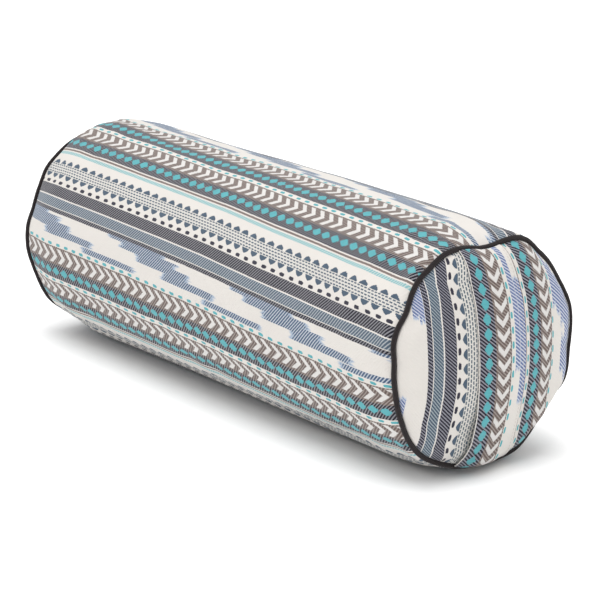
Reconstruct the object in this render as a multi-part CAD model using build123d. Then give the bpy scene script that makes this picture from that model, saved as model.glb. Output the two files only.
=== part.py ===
from build123d import *
import os
from math import sin, cos, tan, asin, acos, atan2, radians, degrees, sqrt, pi, hypot

# Round bolster pillow: a stuffed inner pillow in a removable woven cover.
# Axis of the roll along X, zipped end at +X, floor at Z = 0, millimetres.

# ---------------------------------------------------------------- driving sizes
L_ALL = 650.0        # over both domed ends, flap included
R_BODY = 115.0       # outer radius of the stuffed cover
R_RIM = 105.8        # cover radius where it is sewn to the piping
H_AXIS = 111.0       # roll axis above the floor: the roll settles 4 mm flat underneath
T_FAB = 1.2          # woven cover cloth
T_LINER = 0.6        # inner pillow's cotton liner

D_PIPE = 4.8         # finished piping
D_CORD = 3.4         # cord inside the piping
R_PIPE = 108.2       # piping ring, to the middle of the cord
PIPE_TAIL_R = 96.0   # inner edge of the piping's seam allowance
PIPE_TAIL_T = 1.4
SEAM_GAP = 1.1       # cloth edge to the middle of the seam

RHO = 330.0          # crown radius of each domed end
R_CROWN = 88.0       # the crown ends here and the rounded shoulder starts
DOME_DX = 13.0       # shoulder depth along the axis

FLAP_T = 1.9         # folded flap, two layers
FLAP_FREE = -28.0    # free folded edge of the flap, across the end
FLAP_SEWN = 26.5     # sewn edge of the flap
FLAP_LIFT = 2.5      # how high the flap's inside stands over the zip
FLAP_HALF = 16.5     # half angle of the flap around the dome, degrees

TAPE_W = 16.0        # one zip tape
TAPE_T = 0.6
TAPE_TOP = -2.7      # face of the tape below the dome's surface
COIL_IN, COIL_OUT = 0.8, 3.0
COIL_H = 2.0
COIL_HALF = 14.7     # half angle of the zip's coils, degrees
STOP_HALF = 15.15
PANEL_EDGE = 5.0     # each end panel is folded back this far from the zip's middle
FOLD_W = 10.0        # width of the folded-back edge

SL_ANG = 13.6        # slider's place on the dome when the zip is shut, degrees
SL_L, SL_W = 11.0, 8.6
TAB_L, TAB_W, TAB_T = 16.0, 5.5, 0.6
TAB_PIVOT = -2.5     # pull tab's turning point, along the zip from the slider's middle

STITCH_L, STITCH_W, STITCH_T, STITCH_PITCH = 2.6, 0.6, 0.4, 3.5

R_CORE = 70.0        # rolled cotton core

# ---------------------------------------------------------------- derived places
A1 = asin(R_CROWN / RHO)
FLAP_OUT = FLAP_LIFT + FLAP_T
X_APEX_N = L_ALL / 2 - FLAP_OUT
X_APEX_F = -L_ALL / 2
OX = X_APEX_N - RHO
chord = atan2(DOME_DX, R_RIM - R_CROWN)
A2 = 2 * chord - A1
R_KN = hypot(DOME_DX, R_RIM - R_CROWN) / (2 * sin((A2 - A1) / 2))
DOME_H = RHO * (1 - cos(A1)) + DOME_DX
X_RIM_N = X_APEX_N - DOME_H
X_SEAM_N = X_RIM_N - SEAM_GAP
X_RIM_F = X_APEX_F + DOME_H
X_SEAM_F = X_RIM_F + SEAM_GAP
print("dome height", round(DOME_H, 2), "knuckle radius", round(R_KN, 2), "edge slope", round(degrees(A2), 1))
print("seam planes", round(X_SEAM_F, 2), round(X_SEAM_N, 2), "dome centre x", round(OX, 3))


def revolve_x(face):
    return revolve(face, axis=Axis.X, revolution_arc=360)


def box(x0, x1, y0, y1, z0, z1):
    return Pos((x0 + x1) / 2, (y0 + y1) / 2, (z0 + z1) / 2) * Box(x1 - x0, y1 - y0, z1 - z0)


def solid_of(shape):
    s = shape.solids()
    return s[0] if len(s) == 1 else Compound(children=list(s))


# ---------------------------------------------------------------- end domes
def dome_region(off, x_cut, crown=R_CROWN, rho=RHO, a1=A1, rk=R_KN, a2=A2, ox=OX):
    """Region under the dome's meridian, pushed in by off, cut at the plane x_cut."""
    a3 = min(a2 + radians(14), radians(84))
    kx, kr = ox + (rho - rk) * cos(a1), (rho - rk) * sin(a1)
    pa = (ox + rho - off, 0)
    pm = (ox + (rho - off) * cos(a1 / 2), (rho - off) * sin(a1 / 2))
    pb = (ox + (rho - off) * cos(a1), (rho - off) * sin(a1))
    am = (a1 + a3) / 2
    pk = (kx + (rk - off) * cos(am), kr + (rk - off) * sin(am))
    pc = (kx + (rk - off) * cos(a3), kr + (rk - off) * sin(a3))
    xb = min(x_cut, pc[0]) - 5
    crv = [ThreePointArc(pa, pm, pb), ThreePointArc(pb, pk, pc), Line(pc, (xb, pc[1])), Line((xb, pc[1]), (xb, 0)), Line((xb, 0), pa)]
    face = make_face(crv)
    cutter = Pos((x_cut + ox + rho + 60) / 2, 75) * Rectangle(ox + rho + 60 - x_cut, 150)
    return face & cutter


def dome_shell(off0, off1, x_cut):
    return revolve_x(dome_region(off0, x_cut)) - revolve_x(dome_region(off1, x_cut - 1))


near_shell = dome_shell(0, T_FAB, X_RIM_N)
far_panel = mirror(near_shell, about=Plane.YZ)
far_panel = Pos(X_APEX_F + X_APEX_N, 0, 0) * far_panel

# folded-back edges of the two near panels, along the zip
fold_ring = revolve_x(dome_region(T_FAB - 0.1, X_RIM_N + 11)) - revolve_x(dome_region(2.5, X_RIM_N + 10))
fold_l = fold_ring & box(0, 400, -PANEL_EDGE - FOLD_W, -PANEL_EDGE, -86, 86)
fold_r = fold_ring & box(0, 400, PANEL_EDGE, PANEL_EDGE + FOLD_W, -86, 86)
near_left = (near_shell & box(0, 400, -130, -PANEL_EDGE, -130, 130)) + fold_l
near_right = (near_shell & box(0, 400, PANEL_EDGE, 130, -130, 130)) + fold_r


# ---------------------------------------------------------------- body tube
def shoulder(r_rim, r_max, da, db, drop, off):
    """One end of the tube's meridian, as (distance from the end, radius) points, pushed in by off:
    start, middle and end of the long easing arc, then middle and end of the tight shoulder arc."""
    run = da - db
    r1 = (run * run + drop * drop) / (2 * drop)
    a1 = asin(run / r1)
    rise = r_max - drop - r_rim
    phi = atan2(rise, db)
    a2 = 2 * phi - a1
    r2 = hypot(rise, db) / (2 * sin((a2 - a1) / 2))
    c1 = (da, r_max - r1)
    c2 = (db + r2 * sin(a1), r_max - drop - r2 * cos(a1))
    out = []
    for c, r, a in ((c1, r1, 0), (c1, r1, a1 / 2), (c1, r1, a1), (c2, r2, (a1 + a2) / 2), (c2, r2, a2)):
        out.append((c[0] - (r - off) * sin(a), c[1] + (r - off) * cos(a)))
    return out


def body_region(off, x0, x1, past=0.0, r_rim=R_RIM, r_max=R_BODY, da=60.0, db=12.0, drop=3.4):
    """Half section of the roll under its meridian: straight, a long easing arc, then a tight shoulder at each end.
    off pushes the meridian in, and past carries a straight bore beyond each end."""
    p = shoulder(r_rim, r_max, da, db, drop, off)
    right = [(x1 - d, r) for d, r in p]
    left = [(x0 + d, r) for d, r in p]
    edges = [Line(left[0], right[0]), ThreePointArc(right[0], right[1], right[2]), ThreePointArc(right[2], right[3], right[4])]
    re, le = right[4], left[4]
    if past:
        edges += [Line(re, (x1 + past, re[1])), Line((x1 + past, re[1]), (x1 + past, 0)), Line((x1 + past, 0), (x0 - past, 0)),
                  Line((x0 - past, 0), (x0 - past, le[1])), Line((x0 - past, le[1]), le)]
    else:
        edges += [Line(re, (re[0], 0)), Line((re[0], 0), (le[0], 0)), Line((le[0], 0), le)]
    edges += [ThreePointArc(left[4], left[3], left[2]), ThreePointArc(left[2], left[1], left[0])]
    return make_face(edges)


def settle(shape, off):
    """Flat underneath, where the roll rests."""
    return shape - box(-400, 400, -200, 200, -200, -H_AXIS + off)


def tube_wall(off0, off1, x0, x1, base=0.0, **kw):
    """Wall between two offsets of the same meridian, flat underneath and open at both ends."""
    outer = settle(revolve_x(body_region(off0, x0, x1, **kw)), base + off0)
    inner = settle(revolve_x(body_region(off1, x0, x1, past=4.0, **kw)), base + off1)
    return outer - inner


body = tube_wall(0, T_FAB, X_SEAM_F + SEAM_GAP, X_SEAM_N - SEAM_GAP)


# ---------------------------------------------------------------- piping
def piping(xs):
    at = Pos(xs, 0, 0) * Rot(0, 90, 0)
    tube = at * Torus(R_PIPE, D_PIPE / 2)
    tail = at * (Cylinder(R_RIM + 1.0, PIPE_TAIL_T) - Cylinder(PIPE_TAIL_R, PIPE_TAIL_T + 1))
    cover = (tube + tail) - at * Torus(R_PIPE, D_CORD / 2 + 0.03)
    cord = at * Torus(R_PIPE, D_CORD / 2)
    return cover, cord


pipe_n, cord_n = piping(X_SEAM_N)
pipe_f, cord_f = piping(X_SEAM_F)


# ---------------------------------------------------------------- zip, bent round the dome
# Everything on the zip is turned about the line through the dome's centre, parallel to Y.
def arc_prism(poly, half_deg=None, a0=None, a1=None):
    """poly is (height above the dome's surface, y) points; swept round the dome's centre."""
    if half_deg is not None:
        a0, a1 = -half_deg, half_deg
    pts = []
    for g, y in poly:
        pts.append((sqrt((RHO + g) ** 2 - y * y), y))
    face = make_face(Polyline(*pts, close=True))
    s = revolve(face, axis=Axis.Y, revolution_arc=a1 - a0)
    # revolve about +Y turns +X towards -Z: put it from a0 to a1, measured from +X up to +Z
    s = Rot(0, -a1, 0) * s
    return Pos(OX, 0, 0) * s


def rows(y_in, y_out, g0, g1, n=4):
    ys = [y_in + (y_out - y_in) * i / n for i in range(n + 1)]
    return [(g0, y) for y in ys] + [(g1, y) for y in reversed(ys)]


tape_r = arc_prism(rows(COIL_IN, TAPE_W, TAPE_TOP - TAPE_T, TAPE_TOP), 16.3)
tape_l = mirror(tape_r, about=Plane.XZ)
coil_r = arc_prism(rows(COIL_IN, COIL_OUT, TAPE_TOP + 0.01, TAPE_TOP + COIL_H, 1), COIL_HALF)
coil_l = mirror(coil_r, about=Plane.XZ)


def at_arc(ang, y=0.0):
    """Local frame on the dome: X outwards, Y across, Z along the zip upwards."""
    return Pos(OX, 0, 0) * Rot(0, -ang, 0) * Pos(RHO, y, 0)


def clamp_box(ang0, ang1, y0, y1, g0, g1):
    return arc_prism([(g0, y0), (g0, y1), (g1, y1), (g1, y0)], a0=ang0, a1=ang1)


top_stops = [clamp_box(COIL_HALF + 0.03, STOP_HALF, s * 0.9 if s > 0 else -3.3, 3.3 if s > 0 else -0.9, TAPE_TOP + 0.01, -0.5) for s in (1, -1)]
top_stops = Compound(children=top_stops)
bottom_stop = clamp_box(-STOP_HALF, -COIL_HALF - 0.03, -3.3, 3.3, TAPE_TOP + 0.01, -0.4)

# slider: two plates joined by a post between the coils, side walls, and a bridge for the tab
g_top0, g_top1 = TAPE_TOP + COIL_H + 0.3, TAPE_TOP + COIL_H + 1.2
g_bot1 = TAPE_TOP - TAPE_T - 0.35
g_bot0 = g_bot1 - 0.9


def lbox(g0, g1, y0, y1, t0, t1):
    return box(g0, g1, y0, y1, t0, t1)


def plate(g0, g1):
    """Slider plate: wide shoulders at the opening end, narrower at the other."""
    pts = [(-3.3, -5.5), (3.3, -5.5), (3.7, -2.0), (4.3, 1.5), (4.3, 3.6), (3.1, 5.3), (0.9, 5.5), (-0.9, 5.5), (-3.1, 5.3), (-4.3, 3.6), (-4.3, 1.5), (-3.7, -2.0)]
    f = make_face(Polyline(*[(y, t) for y, t in pts], close=True))
    # drawn in (Y, Z), raised along X
    f = Plane(origin=(g0, 0, 0), x_dir=(0, 1, 0), z_dir=(1, 0, 0)) * f
    return extrude(f, amount=g1 - g0, dir=(1, 0, 0))


sl = plate(g_top0, g_top1) + plate(g_bot0, g_bot1)
sl = sl + lbox(g_bot1 - 0.1, g_top0 + 0.1, -0.5, 0.5, 0.8, 4.6)
for s in (1, -1):
    y0, y1 = (3.45, 4.25) if s > 0 else (-4.25, -3.45)
    sl = sl + lbox(TAPE_TOP + 0.35, g_top0 + 0.1, y0, y1, 0.6, 3.9)
br_leg, br_top0, br_top1 = 1.1, 1.5, 2.1
sl = sl + lbox(g_top1 - 0.1, br_top1, -0.6, 0.6, -4.6, -3.7)
sl = sl + lbox(g_top1 - 0.1, br_top1, -0.6, 0.6, 2.8, 4.2)
sl = sl + lbox(br_top0, br_top1, -0.6, 0.6, -4.6, 4.2)
slider = at_arc(SL_ANG) * sl

# pull tab: a flat plate whose top bar lies under the bridge, with a hole for the bridge's leg
tg0 = g_top1 + 0.2
tp = TAB_PIVOT
tab2d = Pos(0, tp - TAB_L / 2 + 0.6) * RectangleRounded(TAB_W, TAB_L, 1.6)
hole = Pos(0, tp - 0.5 - 1.7) * RectangleRounded(3.4, 3.4, 0.6)
slot = Pos(0, tp - TAB_L + 3.4) * SlotOverall(3.0, 1.3)
tabf = tab2d - hole - slot
tabf = Plane(origin=(tg0, 0, 0), x_dir=(0, 1, 0), z_dir=(1, 0, 0)) * tabf
tab = at_arc(SL_ANG) * extrude(tabf, amount=TAB_T, dir=(1, 0, 0))


# ---------------------------------------------------------------- flap over the zip
def smooth(t):
    t = max(0.0, min(1.0, t))
    return t * t * (3 - 2 * t)


def flap_gap(y):
    if y > 9:
        return 0.35 + (FLAP_LIFT - 0.35) * (1 - smooth((y - 9) / 14.0))
    if y < -12:
        return FLAP_LIFT - (FLAP_LIFT - 0.8) * smooth((-12 - y) / 16.0)
    return FLAP_LIFT


NF = 18
ys = [FLAP_FREE + (FLAP_SEWN - FLAP_FREE) * i / NF for i in range(NF + 1)]
inner = [(sqrt((RHO + flap_gap(y)) ** 2 - y * y), y) for y in ys]
outer = [(sqrt((RHO + flap_gap(y) + FLAP_T) ** 2 - y * y), y) for y in ys]
e_in = Spline(*inner)
e_out = Spline(*outer)
fold_mid = ((inner[0][0] + outer[0][0]) / 2, FLAP_FREE - 0.7)
flap_face = make_face([e_in, e_out, ThreePointArc(inner[0], fold_mid, outer[0]), Line(inner[-1], outer[-1])])
flap = revolve(flap_face, axis=Axis.Y, revolution_arc=2 * FLAP_HALF)
flap = Pos(OX, 0, 0) * Rot(0, -FLAP_HALF, 0) * flap
flap_axis_x = OX + outer[-1][0]


# ---------------------------------------------------------------- stitches
def stitch_row(y, g, half_deg, rho=RHO, ox=OX):
    n = int(2 * half_deg * pi / 180 * rho / STITCH_PITCH)
    out = []
    for i in range(n + 1):
        a = -half_deg + 2 * half_deg * i / n
        dip = sqrt(rho * rho - y * y) - rho
        out.append(Pos(ox, 0, 0) * Rot(0, -a, 0) * Pos(rho + dip + g + STITCH_T / 2, y, 0) * Box(STITCH_T, STITCH_W, STITCH_L))
    return out


flap_stitch = Compound(children=stitch_row(FLAP_SEWN + 2.2, 0.06, 14.6))
zip_stitch = Compound(children=stitch_row(-9.0, 0.05, 14.4) + stitch_row(9.0, 0.05, 14.4))

# ---------------------------------------------------------------- inner pillow
LIN_OFF = T_FAB + 0.4
LX0, LX1 = X_SEAM_F + 6.5, X_SEAM_N - 6.5
LKW = dict(r_rim=97.0, r_max=R_BODY - LIN_OFF, da=62.0, db=16.0, drop=4.6)


liner_tube = tube_wall(0, T_LINER, LX0, LX1, base=LIN_OFF, **LKW)

# domed ends of the liner, set back from the zip
LRHO = RHO - 5.2
L_A1 = asin(78.0 / LRHO)
l_px = OX + LRHO * cos(L_A1)
l_dx, l_dr = l_px - LX1 - 0.3, 97.0 - 78.0
L_A2 = 2 * atan2(l_dx, l_dr) - L_A1
L_RK = hypot(l_dx, l_dr) / (2 * sin((L_A2 - L_A1) / 2))


def liner_region(off, x_cut):
    return dome_region(off, x_cut, crown=78.0, rho=LRHO, a1=L_A1, rk=L_RK, a2=L_A2, ox=OX)


liner_end_n = revolve_x(liner_region(0, LX1 + 0.3)) - revolve_x(liner_region(T_LINER, LX1 - 0.7))
liner_end_f = Pos(X_APEX_F + X_APEX_N, 0, 0) * mirror(liner_end_n, about=Plane.YZ)
closing = []
for i in range(26):
    z = -50 + 4.0 * i
    a = degrees(asin(z / LRHO))
    yy = 40.0
    dip = sqrt(LRHO * LRHO - yy * yy) - LRHO
    closing.append(Pos(OX, 0, 0) * Rot(0, -a, 0) * Pos(LRHO + dip + 0.45, yy, 0) * Rot(28 if i % 2 else -28, 0, 0) * Box(0.5, 0.6, 3.0))
closing = Compound(children=closing)

# filling: a rolled cotton core in a wadding wrap
F_OFF = T_LINER + 0.4
fill = settle(revolve_x(body_region(F_OFF, LX0, LX1, **LKW)), LIN_OFF + F_OFF)
fill = fill - box(LX1 - 1.2, 400, -200, 200, -200, 200) - box(-400, LX0 + 1.2, -200, 200, -200, 200)
cap_n = revolve_x(liner_region(F_OFF, LX1 - 1.2)) & (Rot(0, 90, 0) * Cylinder(95.2, 900))
cap_f = Pos(X_APEX_F + X_APEX_N, 0, 0) * mirror(cap_n, about=Plane.YZ)
filling = fill + cap_n + cap_f
bar = Rot(0, 90, 0) * Cylinder(R_CORE, 900)
bar_hole = Rot(0, 90, 0) * Cylinder(R_CORE + 0.3, 900)
core = filling & bar
wrap = filling - bar_hole

# ---------------------------------------------------------------- write
NODES = {
    "cover_body_panel": body,
    "cover_end_far": far_panel,
    "cover_end_near_left": near_left,
    "cover_end_near_right": near_right,
    "zip_flap": flap,
    "flap_topstitch": flap_stitch,
    "zip_stitching": zip_stitch,
    "zip_tape_left": tape_l,
    "zip_tape_right": tape_r,
    "zip_coil_left": coil_l,
    "zip_coil_right": coil_r,
    "zip_slider": slider,
    "zip_pull_tab": tab,
    "zip_top_stops": top_stops,
    "zip_bottom_stop": bottom_stop,
    "piping_near_cover": pipe_n,
    "piping_near_cord": cord_n,
    "piping_far_cover": pipe_f,
    "piping_far_cord": cord_f,
    "liner_tube": liner_tube,
    "liner_end_near": liner_end_n,
    "liner_end_far": liner_end_f,
    "liner_closing_stitches": closing,
    "filling_core": core,
    "filling_wrap": wrap,
}

os.makedirs("parts", exist_ok=True)
for name, shape in NODES.items():
    placed = Pos(0, 0, H_AXIS) * shape
    placed = solid_of(placed) if not isinstance(placed, Solid) else placed
    export_step(placed, f"parts/{name}.step")
    bb = placed.bounding_box()
    print(name, len(placed.solids()), round(placed.volume / 1000, 2), "cm3", [round(v, 2) for v in (bb.min.X, bb.max.X, bb.min.Y, bb.max.Y, bb.min.Z, bb.max.Z)])

print("hinge flap: x", round(flap_axis_x, 3), "y", FLAP_SEWN, " slider centre", round(OX, 3), "z", H_AXIS)
c, s = cos(radians(SL_ANG)), sin(radians(SL_ANG))
px = OX + (RHO + tg0) * c + (tp) * (-s)
pz = H_AXIS + (RHO + tg0) * s + (tp) * c
print("tab pivot", round(px, 3), 0, round(pz, 3), "axis", round(c, 5), 0, round(s, 5))
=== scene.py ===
import math

import bmesh
import bpy
import numpy as np
from mathutils import Matrix, Vector


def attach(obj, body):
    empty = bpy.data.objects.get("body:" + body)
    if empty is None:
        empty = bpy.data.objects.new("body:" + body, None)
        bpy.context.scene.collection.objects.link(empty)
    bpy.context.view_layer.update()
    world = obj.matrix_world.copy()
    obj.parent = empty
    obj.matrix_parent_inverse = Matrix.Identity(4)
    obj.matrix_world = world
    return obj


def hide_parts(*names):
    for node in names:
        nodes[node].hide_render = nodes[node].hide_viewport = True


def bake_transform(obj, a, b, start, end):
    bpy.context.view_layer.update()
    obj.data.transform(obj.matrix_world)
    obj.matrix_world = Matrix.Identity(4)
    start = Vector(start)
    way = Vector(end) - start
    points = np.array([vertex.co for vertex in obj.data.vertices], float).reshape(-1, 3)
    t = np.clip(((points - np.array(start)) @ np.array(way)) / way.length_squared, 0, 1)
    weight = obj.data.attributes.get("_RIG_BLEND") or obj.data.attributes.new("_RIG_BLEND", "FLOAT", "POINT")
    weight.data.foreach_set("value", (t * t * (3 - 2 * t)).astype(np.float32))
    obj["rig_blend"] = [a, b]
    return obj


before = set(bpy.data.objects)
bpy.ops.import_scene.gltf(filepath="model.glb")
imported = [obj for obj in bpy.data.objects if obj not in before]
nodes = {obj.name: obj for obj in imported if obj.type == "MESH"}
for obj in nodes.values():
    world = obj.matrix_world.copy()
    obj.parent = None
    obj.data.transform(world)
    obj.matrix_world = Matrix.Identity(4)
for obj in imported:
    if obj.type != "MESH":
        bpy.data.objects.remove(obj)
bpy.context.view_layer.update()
rng = np.random.default_rng(7)
MM = 0.001

# ------------------------------------------------------------------ numbers shared with the CAD part (mm)
H = 111.0  # height of the roll's axis
OX = -9.4  # centre of the end's dome
RHO = 330.0
RK = 31.21  # knuckle radius of the dome
A1 = math.asin(88.0 / RHO)
KX, KR = OX + (RHO - RK) * math.cos(A1), (RHO - RK) * math.sin(A1)
R_RIM = 105.8
X_RIM_N, X_RIM_F = 295.65, -300.05
X_SEAM_N, X_SEAM_F = 294.55, -298.95
R_BODY = 115.0
PERIOD = 179.0  # repeat of the stripes across the cloth
MOTIF = 14.0  # repeat of the motifs along the cloth


def smooth01(t):
    t = np.clip(t, 0, 1)
    return t * t * (3 - 2 * t)


def dome(r):
    """x of the near dome at nominal radius r."""
    r = np.asarray(r, float)
    a = OX + np.sqrt(np.maximum(RHO**2 - r**2, 0))
    k = KX + np.sqrt(np.maximum(RK**2 - np.maximum(r - KR, 0) ** 2, 1.0))
    return np.where(r < 88.0, a, k)


# ------------------------------------------------------------------ how far each ring of piping stands from the axis
NEAR_RING = [
    (-156, 107.25), (-148, 108.75), (-140, 110.5), (-132, 110.25), (-124, 109), (-116, 106.75), (-108, 106),
    (-100, 105), (-92, 105.75), (-84, 105.5), (-76, 110.5), (-68, 110), (-60, 105.5), (-52, 110.5), (-44, 113),
    (-36, 110.75), (-28, 111.25), (-20, 108.25), (-12, 102.75), (-4, 97.25), (4, 97.75), (12, 102.5), (20, 107.5),
    (28, 108.25), (36, 104.75), (44, 104.5), (52, 103.75), (60, 103.75), (68, 105.5), (76, 107.5), (84, 107.25),
    (92, 106.25), (100, 105.75), (108, 108.75), (114, 110.5), (119, 108.0), (124, 103.0), (129, 100.8), (135, 101.2),
    (141, 103.4), (147, 106.0),
    (156, 109.5), (164, 107.9), (172, 106.2), (180, 105.8), (188, 106.2), (196, 106.8),
]
FAR_RING = [
    (-180, 107.5), (-165, 108.3), (-150, 107.6), (-140, 109), (-130, 110.75), (-122, 109.25), (-114, 107.75),
    (-106, 108), (-98, 109.75), (-90, 109.5), (-82, 108.75), (-74, 105), (-66, 105.75), (-58, 106.25), (-50, 109),
    (-42, 108.0), (-30, 107.4), (-18, 104.4), (-6, 102.8), (6, 103.6), (18, 107.0), (32, 107.8), (46, 106), (60, 108.8),
    (74, 109.4), (88, 106.4), (102, 107.4), (116, 109.8), (130, 107), (144, 106), (158, 108.2), (170, 107.8),
]


def ring_table(points):
    a = np.array([p[0] % 360 for p in points], float)
    v = np.array([p[1] for p in points], float)
    o = np.argsort(a)
    a, v = a[o], v[o]
    deg = np.arange(720) * 0.5
    t = np.interp(deg, np.r_[a[-1] - 360, a, a[0] + 360], np.r_[v[-1], v, v[0]])
    k = np.exp(-0.5 * (np.arange(-12, 13) / 5.0) ** 2)
    k /= k.sum()
    return np.convolve(np.r_[t[-12:], t, t[:12]], k, "valid")


RING_N, RING_F = ring_table(NEAR_RING), ring_table(FAR_RING)


def ring(table, phi):
    """Radius at angle phi in radians, from the top towards +Y."""
    return np.interp(np.degrees(phi) % 360, np.arange(721) * 0.5, np.r_[table, table[0]])


def noise1(phi, seed, n, lo, hi):
    """A sum of whole waves round the ring, so it closes on itself."""
    g = np.random.default_rng(seed)
    out = np.zeros_like(phi)
    for _ in range(n):
        k = g.integers(lo, hi + 1)
        out += g.uniform(0.5, 1) * np.sin(k * phi + g.uniform(0, 6.283))
    return out / math.sqrt(n)


# the near end's dome bulges a little more or less than its mean round the knuckle
BULGE = [(0, -0.5), (30, 0), (60, 0), (84, -2.0), (96, -3.5), (108, -0.5), (118, 2.0), (128, 3.6), (138, 3.4), (150, 1.2), (168, 0.3), (200, 0), (250, 0.5), (300, 0.5), (340, 0)]


def bulge(phi):
    a = np.array([b[0] for b in BULGE], float)
    v = np.array([b[1] for b in BULGE], float)
    return np.interp(np.degrees(phi) % 360, np.r_[a, 360], np.r_[v, v[0]])


def near_rim(phi):
    return ring(RING_N, phi) - 2.4


def near_xy(s, phi):
    """Point (x, y, z) of the near end at share s of the way from its centre to its rim."""
    rr = s * R_RIM + (near_rim(phi) - R_RIM) * s**6
    x = dome(s * R_RIM) + bulge(phi) * np.exp(-(((s - 0.90) / 0.09) ** 2)) * (1 - s**30)
    x = x + 0.35 * noise1(phi, 3, 7, 9, 26) * np.exp(-(((1 - s) / 0.10) ** 2)) * (1 - s**30)
    return x, rr * np.sin(phi), H + rr * np.cos(phi)


def near_x(y, z):
    """x of the near end over (y, z)."""
    y, z = np.asarray(y, float), np.asarray(z, float) - H
    phi, r = np.arctan2(y, z), np.hypot(y, z)
    d = near_rim(phi) - R_RIM
    s = r / R_RIM
    for _ in range(25):
        s = 0.5 * s + 0.5 * np.clip((r - d * s**6) / R_RIM, 0, 1.02)
    s = np.clip(s, 0, 1)
    return near_xy(s, phi)[0]


# ------------------------------------------------------------------ meshes
def mesh(name, verts_mm, faces, uv=None, smooth=True):
    """A mesh object. uv is one (u, v) per face corner, in mm of cloth."""
    me = bpy.data.meshes.new(name)
    me.from_pydata([tuple(p) for p in (np.asarray(verts_mm) * MM)], [], [tuple(int(i) for i in f) for f in faces])
    if uv is not None:
        layer = me.uv_layers.new(name="Weave")
        layer.data.foreach_set("uv", np.asarray(uv, np.float32).ravel())
    me.validate()
    me.update()
    for p in me.polygons:
        p.use_smooth = smooth
    o = bpy.data.objects.new(name, me)
    bpy.context.scene.collection.objects.link(o)
    return o


def grid_faces(nu, nv, wrap_u=False, wrap_v=False, off=0):
    """Faces of a grid whose vertex (i, j) is i * nv + j."""
    f = []
    for i in range(nu if wrap_u else nu - 1):
        for j in range(nv if wrap_v else nv - 1):
            i2, j2 = (i + 1) % nu, (j + 1) % nv
            f.append((off + i * nv + j, off + i2 * nv + j, off + i2 * nv + j2, off + i * nv + j2))
    return f


def apply_modifiers(o):
    dg = bpy.context.evaluated_depsgraph_get()
    me = bpy.data.meshes.new_from_object(o.evaluated_get(dg), preserve_all_data_layers=True, depsgraph=dg)
    old = o.data
    o.modifiers.clear()
    o.data = me
    me.name = o.name
    bpy.data.meshes.remove(old)
    for p in me.polygons:
        p.use_smooth = True
    return o


def co_of(o):
    a = np.zeros(len(o.data.vertices) * 3)
    o.data.vertices.foreach_get("co", a)
    return a.reshape(-1, 3)


def set_co(o, a):
    o.data.vertices.foreach_set("co", np.asarray(a, float).ravel())
    o.data.update()


def thicken(o, mm, offset=-1.0, levels=0):
    if levels:
        m = o.modifiers.new("Subdivision", "SUBSURF")
        m.levels = m.render_levels = levels
        m.uv_smooth = "NONE"
        m.boundary_smooth = "ALL"
    m = o.modifiers.new("Thickness", "SOLIDIFY")
    m.thickness = mm * MM
    m.offset = offset
    m.use_even_offset = False
    m.use_rim = True
    return apply_modifiers(o)


SIM_SCALE = 10.0


def blur(a, n, axis, wrap):
    k = np.exp(-0.5 * (np.arange(-3 * n, 3 * n + 1) / n) ** 2)
    k /= k.sum()
    pad = [(0, 0)] * a.ndim
    pad[axis] = (3 * n, 3 * n)
    b = np.pad(a, pad, mode="wrap" if wrap else "edge")
    return np.apply_along_axis(lambda v: np.convolve(v, k, "valid"), axis, b)


def inflate(o, pinned, cap_mm, pressure=4.0, shrink=-0.02, frames=20, bending=1.0, grid=None, tension=25.0):
    """Sews the piece down at its pinned vertices and lets Blender's Cloth fill it out, then keeps the result."""
    rest = co_of(o)
    set_co(o, rest * SIM_SCALE)
    g = o.vertex_groups.new(name="pin")
    for w in sorted(set(np.round(pinned, 2))):
        if w > 0:
            g.add([int(i) for i in np.where(np.round(pinned, 2) == w)[0]], float(w), "REPLACE")
    m = o.modifiers.new("Cloth", "CLOTH")
    c = m.settings
    c.quality = 6
    c.mass = 0.25
    c.air_damping = 3.0
    c.tension_stiffness = c.compression_stiffness = tension
    c.shear_stiffness = tension * 0.4
    c.bending_stiffness = bending
    c.tension_damping = c.compression_damping = 15
    c.shear_damping = 10
    c.use_pressure = pressure != 0
    c.uniform_pressure_force = pressure
    c.shrink_min = c.shrink_max = shrink
    c.vertex_group_mass = "pin"
    c.pin_stiffness = 1.0
    c.effector_weights.gravity = 0
    m.collision_settings.use_collision = False
    m.collision_settings.use_self_collision = False
    m.point_cache.frame_start, m.point_cache.frame_end = 1, frames
    sc = bpy.context.scene
    sc.frame_start, sc.frame_end = 1, frames
    for f in range(1, frames + 1):
        sc.frame_set(f)
    dg = bpy.context.evaluated_depsgraph_get()
    e = o.evaluated_get(dg)
    done = np.array([v.co for v in e.data.vertices], float)
    o.modifiers.clear()
    o.vertex_groups.clear()
    done /= SIM_SCALE
    move = done - rest
    if grid:  # only the folds are kept: the broad swell is taken off again
        g = move.reshape(*grid, 3)
        move = (g - 0.97 * blur(blur(g, 5, 0, False), 7, 1, True)).reshape(-1, 3)
        edge = np.minimum(rest[:, 0] - rest[:, 0].min(), rest[:, 0].max() - rest[:, 0]) / MM
        move *= smooth01((edge - 5.0) / 35.0)[:, None]
    size = np.linalg.norm(move, axis=1, keepdims=True)
    bad = ~np.isfinite(size)
    move[bad[:, 0]] = 0
    size[bad] = 0
    cap = cap_mm * MM
    move *= cap * np.tanh(size / cap) / np.maximum(size, 1e-9)
    set_co(o, rest + move)
    sc.frame_set(1)
    print("inflate", o.name, "most", round(float(size.max()) * 1000, 2), "mean", round(float(size.mean()) * 1000, 2), "drift", (move.mean(0) * 1000).round(2))
    return o


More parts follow.
